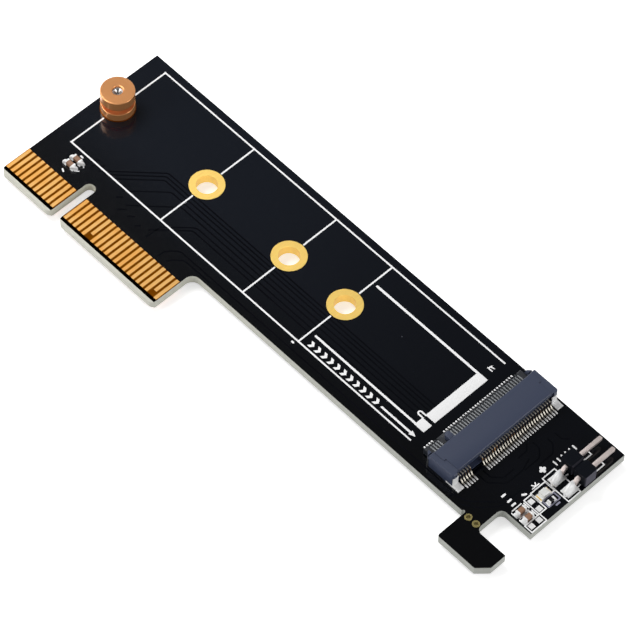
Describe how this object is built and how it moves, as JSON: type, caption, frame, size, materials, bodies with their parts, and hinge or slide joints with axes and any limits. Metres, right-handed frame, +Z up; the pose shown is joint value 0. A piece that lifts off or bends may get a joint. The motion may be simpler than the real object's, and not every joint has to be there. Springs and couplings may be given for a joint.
{
  "type": "nvme adapter card",
  "caption": "Flat adapter card with a gold edge finger, a drive-module socket, plated support holes, a grooved copper standoff, a lamp header and a snap-off latch hook.",
  "frame": {"origin": "the key notch's centre line on the connector edge, level with the card's underside", "axes": "+X along the edge finger towards the socket, +Y from the finger into the card, +Z up out of the component side"},
  "size_m": [0.0999, 0.0322, 0.0069],
  "materials": {
    "masked_laminate": "glossy black solder mask over pale glass-epoxy laminate",
    "gold_plating": "satin gold plating",
    "via_plating": "dull plated copper under mask",
    "turned_copper": "turned, bright copper alloy",
    "plated_steel": "nickel-plated steel",
    "socket_plastic": "moulded, slate blue-grey",
    "spring_contacts": "gold flash over bronze, tinned feet",
    "tinned_pads": "reflowed solder",
    "tinned_tabs": "tinned bronze",
    "header_plastic": "moulded black",
    "header_pins": "tinned brass wire",
    "led_ceramic": "white ceramic-filled substrate",
    "led_resin": "milky clear resin",
    "chip_terminations": "tinned terminations",
    "resistor_film": "black glazed film on ceramic",
    "capacitor_ceramic": "fired brown ceramic"
  },
  "bodies": {
    "root": {"bare_pads": "tinned_pads", "board": "masked_laminate", "chip_pads": "tinned_pads", "edge_contacts_bottom": "gold_plating", "edge_contacts_top": "gold_plating", "filter_capacitor_1": "capacitor_ceramic", "filter_capacitor_1_ends": "chip_terminations", "filter_capacitor_2": "capacitor_ceramic", "filter_capacitor_2_ends": "chip_terminations", "finger_capacitor_1": "capacitor_ceramic", "finger_capacitor_1_ends": "chip_terminations", "finger_capacitor_2": "capacitor_ceramic", "finger_capacitor_2_ends": "chip_terminations", "header_block": "header_plastic", "header_pads": "tinned_pads", "header_pin_1": "header_pins", "header_pin_2": "header_pins", "hook_vias": "via_plating", "led_base": "led_ceramic", "led_ends": "chip_terminations", "led_lens": "led_resin", "plated_hole_30": "gold_plating", "plated_hole_42": "gold_plating", "plated_hole_60": "gold_plating", "plated_hole_80": "gold_plating", "resistor": "resistor_film", "resistor_ends": "chip_terminations", "socket_housing": "socket_plastic", "socket_lower_contacts": "spring_contacts", "socket_tab_far": "tinned_tabs", "socket_tab_near": "tinned_tabs", "socket_tab_pads": "tinned_pads", "socket_upper_contacts": "spring_contacts", "standoff": "turned_copper", "standoff_screw": "plated_steel"}
  },
  "joints": []
}
